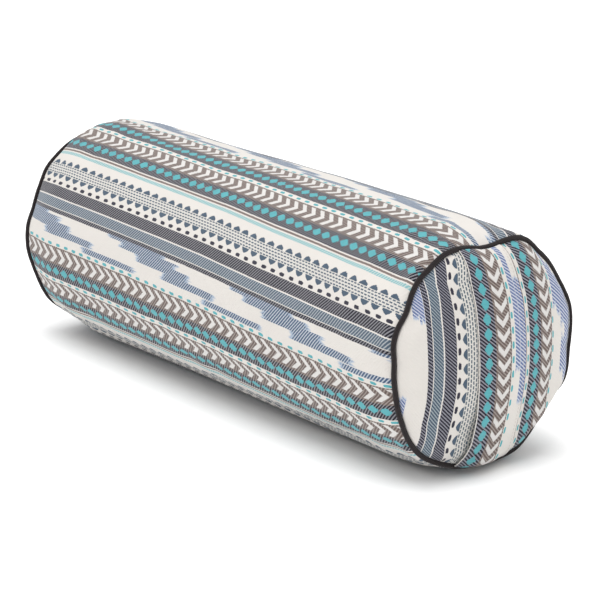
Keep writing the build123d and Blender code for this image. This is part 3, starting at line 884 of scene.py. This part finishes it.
# ------------------------------------------------------------------ piping
def piping(name, table, x0, seed, body_name="pillow"):
    n = 360
    ph = 2 * math.pi * np.arange(n) / n
    rc = ring(table, ph)
    xc = x0 + 0.35 * noise1(ph, seed, 5, 3, 12)
    # section of the folded bias strip: in along one side, round the cord, and back along the other
    R = 2.02
    sec = [(-0.42, -12.0), (-0.42, -8.0), (-0.46, -4.2), (-0.75, -2.6)]
    a0, a1 = math.radians(205), math.radians(-25)
    for t in np.linspace(0, 1, 15):
        a = a0 + (a1 - a0) * t
        sec.append((R * math.cos(a), R * math.sin(a)))
    sec += [(0.75, -2.6), (0.46, -4.2), (0.42, -8.0), (0.42, -12.0)]
    sec = np.array(sec)
    ls = np.r_[0, np.cumsum(np.hypot(*np.diff(sec, axis=0).T))]
    co, uvv = [], []
    for i in range(n):
        zz = 0.25 * math.sin(ph[i] * 41)
        for k, (dx, dr) in enumerate(sec):
            rr = rc[i] + dr * (1 + 0.03 * math.sin(ph[i] * 57 + k))
            co.append((xc[i] + dx, rr * math.sin(ph[i]), H + rr * math.cos(ph[i])))
    m = len(sec)
    co = np.array(co)
    tail = np.tile(np.arange(m), n)
    # where the ring rests on the floor it stays above it
    co[:, 2] = np.maximum(co[:, 2], 0.3 + 0.0 * tail)
    f, uv = [], []
    step = 2 * math.pi * 108.0 / n
    for i in range(n):
        i2 = (i + 1) % n
        for k in range(m - 1):
            f.append((i * m + k, i * m + k + 1, i2 * m + k + 1, i2 * m + k))
            for a, b in ((i, k), (i, k + 1), (i + 1, k + 1), (i + 1, k)):
                s, t = a * step, ls[b]
                uv.append(((s + t) * 0.7071, (s - t) * 0.7071))
    o = mesh(name, co, f, uv)
    thicken(o, 0.5, offset=0.0, levels=0)
    give(o, M_PIPE)
    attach(o, body_name)
    # twisted cord inside
    m2, n2 = 14, 720
    ph = 2 * math.pi * np.arange(n2) / n2
    rc = ring(table, ph)
    xc = x0 + 0.35 * noise1(ph, seed, 5, 3, 12)
    co = []
    for i in range(n2):
        tw = ph[i] * 60
        for k in range(m2):
            a = 2 * math.pi * k / m2
            rad = 1.42 + 0.22 * abs(math.cos(1.5 * (a - tw)))
            rr = rc[i] + rad * math.sin(a)
            co.append((xc[i] + rad * math.cos(a), rr * math.sin(ph[i]), H + rr * math.cos(ph[i])))
    c = mesh(name.replace("_cover", "_cord"), co, grid_faces(n2, m2, True, True))
    give(c, M_CORD)
    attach(c, body_name)
    return o, c


pipe_n, cord_n = piping("piping_near_ring_cover", RING_N, X_SEAM_N, 21)
pipe_f, cord_f = piping("piping_far_ring_cover", RING_F, X_SEAM_F, 22)
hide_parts("piping_near_cover")
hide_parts("piping_near_cord")
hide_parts("piping_far_cover")
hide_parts("piping_far_cord")

# ------------------------------------------------------------------ zip: tapes, coils and stops follow the end's dome
def strip_on_dome(name, y0, y1, z0, z1, drop, thick, nrow, ncol, mat, node):
    ys = np.linspace(y0, y1, ncol)
    zs = np.linspace(z0, z1, nrow)
    Y, Z = np.meshgrid(ys, zs, indexing="ij")
    ball = OX + np.sqrt(RHO**2 - Y**2 - (Z - H) ** 2)
    low = smooth01((np.abs(Z - H) - 85.0) / 6.0)  # the slider's run is truly round; past it the tape follows the cloth
    X = ball * (1 - low) + np.minimum(near_x(Y, Z), ball) * low - drop
    co = np.stack([X, Y, Z], -1).reshape(-1, 3)
    f = grid_faces(ncol, nrow)
    uv = []
    for q in f:
        for v in q:
            uv.append((co[v][2], co[v][1]))
    o = mesh(name, co, f, uv)
    thicken(o, thick, offset=0)
    give(o, mat)
    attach(o, "pillow")
    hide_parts(node)
    return o


def rim_z(y, top=True):
    """Height of the near end's rim over y."""
    z = np.linspace(70, 112, 400)
    if not top:
        z = -z
    phi = np.arctan2(np.full_like(z, float(y)), z)
    d = near_rim(phi) - np.hypot(y, z)
    return H + float(z[np.argmin(np.abs(d))])


TAPE_HI, TAPE_LO = min(rim_z(1), rim_z(-1)) - 2.0, rim_z(0, False) + 2.0
strip_on_dome("zip_tape_left_woven", -16.0, -0.9, TAPE_LO, TAPE_HI, 3.0, 0.6, 90, 8, M_TAPE, "zip_tape_left")
strip_on_dome("zip_tape_right_woven", 0.9, 16.0, TAPE_LO, TAPE_HI, 3.0, 0.6, 90, 8, M_TAPE, "zip_tape_right")


def coil(name, side, node):
    """A nylon coil: a flattened helix whose heads meet the other side's at the middle."""
    z0, z1, pitch, per = 27.6, min(194.4, TAPE_HI - 4), 1.35, 12
    n = int((z1 - z0) / pitch) * per
    t = np.arange(n + 1) / per
    zz = z0 + pitch * t + (0.0 if side < 0 else pitch / 2)
    a = 2 * math.pi * t
    yy = side * (1.15 - 1.35 * np.cos(a))
    lift = 0.55 * np.sin(a)
    xx = near_x(0 * zz, zz) - 1.15 + lift
    P = np.stack([xx, yy, zz], -1)
    T = np.gradient(P, axis=0)
    T /= np.linalg.norm(T, axis=1, keepdims=True)
    up = np.tile([1.0, 0, 0], (len(P), 1))
    A = np.cross(T, up)
    A /= np.maximum(np.linalg.norm(A, axis=1, keepdims=True), 1e-6)
    B = np.cross(T, A)
    m = 5
    co = []
    for k in range(m):
        b = 2 * math.pi * k / m
        co.append(P + 0.3 * (math.cos(b) * A + math.sin(b) * B))
    co = np.stack(co, 1).reshape(-1, 3)
    f = grid_faces(len(P), m, wrap_v=True)
    f += [tuple(range(m - 1, -1, -1)), tuple(len(co) - m + k for k in range(m))]
    o = mesh(name, co, f)
    give(o, M_COIL)
    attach(o, "pillow")
    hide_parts(node)
    return o


coil("zip_coil_left_spiral", -1, "zip_coil_left")
coil("zip_coil_right_spiral", 1, "zip_coil_right")


def rounded_box(name, size, at, normal_z, mat, nodes_, bevel=0.25):
    bm = bmesh.new()
    bmesh.ops.create_cube(bm, size=1.0)
    bmesh.ops.scale(bm, vec=Vector(size) * MM, verts=bm.verts)
    bmesh.ops.bevel(bm, geom=bm.edges[:], offset=bevel * MM, segments=2, affect="EDGES", profile=0.6)
    me = bpy.data.meshes.new(name)
    bm.to_mesh(me)
    bm.free()
    me.transform(Matrix.Rotation(normal_z, 4, "Y"))
    me.transform(Matrix.Translation(Vector(at) * MM))
    for p in me.polygons:
        p.use_smooth = True
    o = bpy.data.objects.new(name, me)
    bpy.context.scene.collection.objects.link(o)
    give(o, mat)
    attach(o, "pillow")
    if nodes_:
        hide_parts(*nodes_)
    return o


# ------------------------------------------------------------------ stitches
def stitches(name, path, pitch, length, width, thick, mat, body_name, node, lift=0.18):
    """Rounded stitches along a path of (point, normal)."""
    pts = np.array([p for p, _ in path], float)
    nrm = np.array([n for _, n in path], float)
    s = np.r_[0, np.cumsum(np.linalg.norm(np.diff(pts, axis=0), axis=1))]
    co, f = [], []
    u = 0.0
    while u + length < s[-1]:
        ring_n, along = 8, 7
        base = len(co)
        for k in range(along):
            t = k / (along - 1)
            q = u + length * t
            c = np.array([np.interp(q, s, pts[:, a]) for a in range(3)])
            nn = np.array([np.interp(q, s, nrm[:, a]) for a in range(3)])
            nn /= np.linalg.norm(nn)
            i = min(np.searchsorted(s, q), len(s) - 1)
            tg = pts[i] - pts[max(i - 1, 0)] if i > 0 else pts[1] - pts[0]
            tg = tg / np.linalg.norm(tg)
            sd = np.cross(nn, tg)
            arch = math.sin(math.pi * t)
            for r_ in range(ring_n):
                b = 2 * math.pi * r_ / ring_n
                k2 = 0.35 + 0.65 * arch**0.5
                co.append(c + nn * (lift * arch - 0.12 + thick / 2 * math.sin(b) * k2) + sd * (width / 2 * math.cos(b) * k2))
        for k in range(along - 1):
            for r_ in range(ring_n):
                r2 = (r_ + 1) % ring_n
                f.append((base + k * ring_n + r_, base + (k + 1) * ring_n + r_, base + (k + 1) * ring_n + r2, base + k * ring_n + r2))
        f.append(tuple(base + r_ for r_ in range(ring_n))[::-1])
        f.append(tuple(base + (along - 1) * ring_n + r_ for r_ in range(ring_n)))
        u += pitch
    o = mesh(name, co, f)
    give(o, mat)
    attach(o, body_name)
    if node:
        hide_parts(node)
    return o


def dome_normal(y, z):
    e = 0.5
    gx = (near_x(y + e, z) - near_x(y - e, z)) / (2 * e)
    gz = (near_x(y, z + e) - near_x(y, z - e)) / (2 * e)
    n = np.array([1.0, -float(gx), -float(gz)])
    return n / np.linalg.norm(n)


def dome_line(y, z0, z1, n=80, up=0.0):
    out = []
    for z in np.linspace(z0, z1, n):
        nn = dome_normal(y, z)
        out.append((np.array([float(near_x(y, z)), y, z]) + nn * up, nn))
    return out


# rows of stitching that hold the zip, either side of it
zs1 = stitches("zip_stitching_sewn", dome_line(-9.0, TAPE_LO + 6, TAPE_HI - 6), 3.5, 2.7, 0.6, 0.4, M_THREAD, "pillow", "zip_stitching")
zs2 = stitches("zip_stitching_sewn_right", dome_line(9.0, TAPE_LO + 6, TAPE_HI - 6), 3.5, 2.7, 0.6, 0.4, M_THREAD, "pillow", None)

# ------------------------------------------------------------------ flap over the zip: a strip folded double, sewn at both ends
NT, ZPAD = 72, 0.5
LAYER = 0.85  # one layer of cloth
GAP_L = 0.25  # air between the two layers


def flap_gap(c, y, zrel):
    """How high the flap's inside stands over the panels: c is 0 at its fold, 1 at its sewn edge."""
    g = 2.6 * (1 - smooth01((c - 0.66) / 0.28)) + 0.30
    g = g - 1.9 * (1 - smooth01(c / 0.30))
    # low down the fold stands open
    mouth = 5.0 * np.exp(-(((zrel + 66) / 20.0) ** 2)) * (1 - smooth01(c / 0.30))
    g = g + mouth
    # room for the tab when the zip is open, where the dome falls away under it
    g = g + 2.1 * np.exp(-(((zrel + 93.5) / 8.0) ** 2)) * np.exp(-(((c - 0.5) / 0.24) ** 2))
    ends = np.where(zrel < 0, smooth01((106.0 - np.abs(zrel)) / 10.0), smooth01((98.0 - np.abs(zrel)) / 26.0))
    return 0.2 + g * (0.15 + 0.85 * ends)


def flap_row_z(t):
    return t


tt = np.linspace(0, 1, NT)
# rows run from the top rim to the bottom rim, closer together near the rims
row_s = np.sin((tt - 0.5) * math.pi * 0.93) / math.sin(0.5 * math.pi * 0.93)
NC = 40
cc = np.linspace(1, 0, NC)  # from the sewn edge to the fold
outer_c, inner_c = cc, np.linspace(0, 0.985, 34)


RIM_TOP = [rim_z(y) - H for y in np.arange(-40, 41, 1.0)]
RIM_BOT = [rim_z(y, False) - H for y in np.arange(-40, 41, 1.0)]


def rim_at(y, top):
    return np.interp(y, np.arange(-40, 41, 1.0), RIM_TOP if top else RIM_BOT)


def flap_surface(c, srow):
    """(y, z, gap) of the flap at share c across (0 fold, 1 sewn edge) and row srow (1 top, -1 bottom)."""
    zrel = np.where(srow > 0, srow * 96.0, srow * 103.0)
    for _ in range(4):
        yf = at_rows(FOLD_Y, zrel)
        ys_ = at_rows(SEAM_Y, zrel)
        y_seen = yf + (ys_ - yf) * c
        g = flap_gap(c, y_seen, zrel)
        y = y_seen - PAR_Y * (g + 1.2)
        top, bot = rim_at(y, True) - 0.2, rim_at(y, False) + 0.2
        zrel = np.where(srow > 0, srow * top, -srow * bot)
    return y, zrel, g


def flap_sheet():
    C = np.r_[outer_c, inner_c]
    lay = np.r_[np.ones(NC), -np.ones(len(inner_c))]
    co = np.zeros((NT, len(C), 3))
    arc = np.zeros((NT, len(C)))
    for i in range(NT):
        sr = np.full(len(C), -row_s[i])
        y, zrel, g = flap_surface(C, sr)
        half = (LAYER + GAP_L) / 2
        base = g + LAYER / 2 + np.where(lay > 0, 2 * half, 0.0)
        # the two layers meet in the rounded fold
        fold = np.clip(1 - C / 0.02, 0, 1)
        base = base - np.where(lay > 0, half, -half) * fold**2
        x = near_x(y, zrel + H)
        nrm = np.zeros((len(C), 3))
        e = 0.6
        nrm[:, 0] = 1
        nrm[:, 1] = -np.clip((near_x(y + e, zrel + H) - near_x(y - e, zrel + H)) / (2 * e), -1.3, 1.3)
        nrm[:, 2] = -np.clip((near_x(y, zrel + e + H) - near_x(y, zrel - e + H)) / (2 * e), -1.3, 1.3)
        nrm /= np.linalg.norm(nrm, axis=1, keepdims=True)
        co[i] = np.stack([x, y, zrel + H], -1) + nrm * base[:, None]
    # along the cloth, column by column, 0 at the height that U counts from
    step = np.linalg.norm(np.diff(co, axis=0), axis=2)
    arc = np.r_[np.zeros((1, len(C))), np.cumsum(step, axis=0)]
    for k in range(len(C)):
        z = co[:, k, 2] - H
        arc[:, k] -= np.interp(-13.5, -z, arc[:, k])
    FC = np.array([0, 0.189, 0.345, 0.498, 0.668, 0.735, 1.0])
    FV = np.array([38.8, 29.6, 21.8, 12.9, 4.0, 0.0, -14.6])
    v_out = np.interp(outer_c, FC, FV)
    v_in = 38.8 + inner_c * 53.0
    V = np.r_[v_out, v_in]
    f, uv = [], []
    m = len(C)
    for i in range(NT - 1):
        for k in range(m - 1):
            f.append((i * m + k, i * m + k + 1, (i + 1) * m + k + 1, (i + 1) * m + k))
            for a, b in ((i, k), (i, k + 1), (i + 1, k + 1), (i + 1, k)):
                uv.append((arc[a, b] * 1.02, V[b]))
    o = mesh("zip_flap_folded", co.reshape(-1, 3), f, uv)
    return o, co


flap, flap_co = flap_sheet()
thicken(flap, LAYER, offset=0.0, levels=1)
give(flap, M_FLAP)
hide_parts("zip_flap")
HINGE_Y, FULL_Y = 0.0265, 0.006


def blend_flap(o):
    """The flap turns with its body from its sewn edge on, and stays sewn down at its two ends."""
    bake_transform(o, "pillow", "flap", start=(0.3218, HINGE_Y, 0.111), end=(0.3218, FULL_Y, 0.111))
    a = o.data.attributes["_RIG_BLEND"]
    w = np.zeros(len(o.data.vertices), np.float32)
    a.data.foreach_get("value", w)
    z = np.abs(co_of(o)[:, 2] / MM - H)
    w *= 1 - smooth01((z - 52.0) / 42.0)
    a.data.foreach_set("value", w.astype(np.float32))


# the row of stitches that closes the flap's seam, on the flap beside its sewn edge
path = []
for i in range(NT):
    k = int(np.argmin(np.abs(outer_c - 0.945)))
    p, q = flap_co[i, k], flap_co[i, k + 1]
    nn = dome_normal(p[1], p[2])
    path.append((p + nn * LAYER / 2, nn))
top_st = stitches("flap_topstitch_sewn", path[4:-4], 3.5, 2.6, 0.55, 0.4, M_THREAD_L, "pillow", "flap_topstitch", lift=0.12)
blend_flap(flap)

# ------------------------------------------------------------------ zip stops
for y in (-1.9, 1.9):
    z = TAPE_HI - 4.5
    x = float(near_x(y, z)) - 1.2
    rounded_box(f"zip_stop_top_{'left' if y < 0 else 'right'}", (1.8, 2.2, 3.0), (x, y, z), math.radians(-20), M_METAL,
                ["zip_top_stops"] if y < 0 else [])
x = float(near_x(0, 26.0)) - 1.2
rounded_box("zip_stop_bottom_clamp", (2.2, 6.2, 3.6), (x, 0, 26.0), math.radians(18), M_METAL, ["zip_bottom_stop"])

# ------------------------------------------------------------------ inner pillow: a calico case filled with cotton
def inner(name, inset, mat, node_list, lumps, sheet_flat=None, pinch=0.0):
    """A closed form inside the cover, inset from it, with its own soft lumps."""
    n_phi, pts = 120, []
    # meridian of shares: centre of the near end, its rim, along the tube, rim and centre of the far end
    s_near = np.linspace(0.02, 0.985, 26)
    xs_i = np.linspace(286.0, -291.0, 84)
    rows = []
    ph = 2 * math.pi * np.arange(n_phi) / n_phi
    for s in s_near:
        x, y, z = near_xy(np.full(n_phi, s), ph)
        rows.append(np.stack([x - inset, y * (1 - inset / 106), H + (z - H) * (1 - inset / 106)], -1))
    for xv in xs_i:
        r = body_radius(np.full(n_phi, xv), ph) - inset
        rows.append(np.stack([np.full(n_phi, xv), r * np.sin(ph), H + r * np.cos(ph)], -1))
    for s in s_near[::-1]:
        x, y, z = far_xy(np.full(n_phi, s), ph)
        rows.append(np.stack([x + inset, y * (1 - inset / 106), H + (z - H) * (1 - inset / 106)], -1))
    rows = np.array(rows)
    if lumps:
        g = np.random.default_rng(31)
        X = rows[..., 0]
        P = np.arctan2(rows[..., 1], rows[..., 2] - H)
        d = np.zeros(X.shape)
        for _ in range(16):
            kx, kp = g.uniform(0.01, 0.07), g.integers(1, 9)
            d += np.sin(kx * X + kp * P + g.uniform(0, 6.28))
        d = d / 4.0 * lumps
        rows[..., 1] *= 1 - np.abs(d) / 110
        rows[..., 2] = H + (rows[..., 2] - H) * (1 - np.abs(d) / 110)
    co = rows.reshape(-1, 3)
    co[:, 2] = settle(co[:, 2] - inset - 1.2, 0.3) + inset + 1.2
    nr = len(rows)
    co = np.r_[co, [rows[0].mean(0)], [rows[-1].mean(0)]]
    f = grid_faces(nr, n_phi, wrap_v=True)
    f += [(len(co) - 2, (j + 1) % n_phi, j) for j in range(n_phi)]
    f += [(len(co) - 1, (nr - 1) * n_phi + j, (nr - 1) * n_phi + (j + 1) % n_phi) for j in range(n_phi)]
    uv = []
    for q in f:
        for v in q:
            if v < nr * n_phi:
                i, j = divmod(v, n_phi)
                if any(w < nr * n_phi and abs(w % n_phi - j) > n_phi / 2 for w in q) and j == 0:
                    j = n_phi
                uv.append((i * 6.0, j * 6.0))
            else:
                uv.append((0.0, 0.0))
    o = mesh(name, co, f, uv)
    give(o, mat)
    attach(o, "pillow")
    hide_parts(*node_list)
    return o


liner = inner("inner_pillow", 3.4, M_LINER, ["liner_tube", "liner_end_near", "liner_end_far", "liner_closing_stitches"], 0.0)
fill = inner("cotton_filling", 5.4, M_FILL, ["filling_core", "filling_wrap"], 2.6)

# ------------------------------------------------------------------ what stays as the CAD made it
for n, m in (("zip_slider", M_METAL), ("zip_pull_tab", M_METAL)):
    give(nodes[n], m)

# ------------------------------------------------------------------ floor, light and camera
sc = bpy.context.scene
floor = mesh("studio_floor", [(-4000, -4000, 0), (4000, -4000, 0), (4000, 4000, 0), (-4000, 4000, 0)], [(0, 1, 2, 3)], smooth=False)
gf = Graph("studio_floor_white_painted_glow")
gf.set(Base_Color=gf.mix(gf.noise(gf.obj(), 3.0, 2.0), (0.87, 0.87, 0.87), (0.89, 0.89, 0.89)), Roughness=0.95)
# the floor glows, as painted light: no glow over a 0.60 by 0.14 m rectangle under the pillow, rising to 0.32 at 0.06 m
# beyond it. This washes the floor white away from the pillow and leaves its shadow only close by. The glow also lights
# the pillow from below.
gf.bsdf.inputs["Emission Color"].default_value = (1, 1, 1, 1)
sep = gf.nt.nodes.new("ShaderNodeSeparateXYZ")
gf.put(sep.inputs[0], gf.obj())
ax, ay = sep.outputs[0], sep.outputs[1]
away = gf.m("SQRT", gf.add(gf.m("POWER", gf.hi(gf.sub(gf.abs(ax), 0.30), 0.0), 2.0), gf.m("POWER", gf.hi(gf.sub(gf.abs(ay), 0.07), 0.0), 2.0)))
gf.put(gf.bsdf.inputs["Emission Strength"], gf.line(away, 0.0, 0.06, 0.0, 0.32))
give(floor, gf.mat)

w = bpy.data.worlds.new("studio")
sc.world = w
w.use_nodes = True
w.node_tree.nodes["Background"].inputs[0].default_value = (1.0, 1.0, 1.0, 1)
wn = w.node_tree.nodes
wc, ws, wm = wn.new("ShaderNodeTexCoord"), wn.new("ShaderNodeSeparateXYZ"), wn.new("ShaderNodeMapRange")
w.node_tree.links.new(wc.outputs["Generated"], ws.inputs[0])
w.node_tree.links.new(ws.outputs[2], wm.inputs[0])
for i, v in enumerate((0.0, 1.0, 0.72, 1.12)):
    wm.inputs[i + 1].default_value = v
w.node_tree.links.new(wm.outputs[0], wn["Background"].inputs[1])


def area(name, at, to, size, power):
    l = bpy.data.lights.new(name, "AREA")
    l.shape = "RECTANGLE"
    l.size, l.size_y = size
    l.energy = power
    o = bpy.data.objects.new(name, l)
    sc.collection.objects.link(o)
    o.location = at
    o.rotation_mode = "QUATERNION"
    o.rotation_quaternion = (Vector(to) - Vector(at)).to_track_quat("-Z", "Y")
    return o


area("key", (0.2, -0.5, 2.6), (0, 0, 0.1), (2.2, 2.2), 38)

cam = bpy.data.cameras.new("camera")
cam.sensor_width = 36
cam.lens = 150
cam.clip_start, cam.clip_end = 0.05, 50
co_ = bpy.data.objects.new("camera", cam)
sc.collection.objects.link(co_)
co_.location = (1.8803, -1.4472, 0.7904)
co_.rotation_mode = "QUATERNION"
co_.rotation_quaternion = Vector((-0.7561, 0.59025, -0.2827)).to_track_quat("-Z", "Y")
sc.camera = co_
sc.view_settings.view_transform = "Standard"
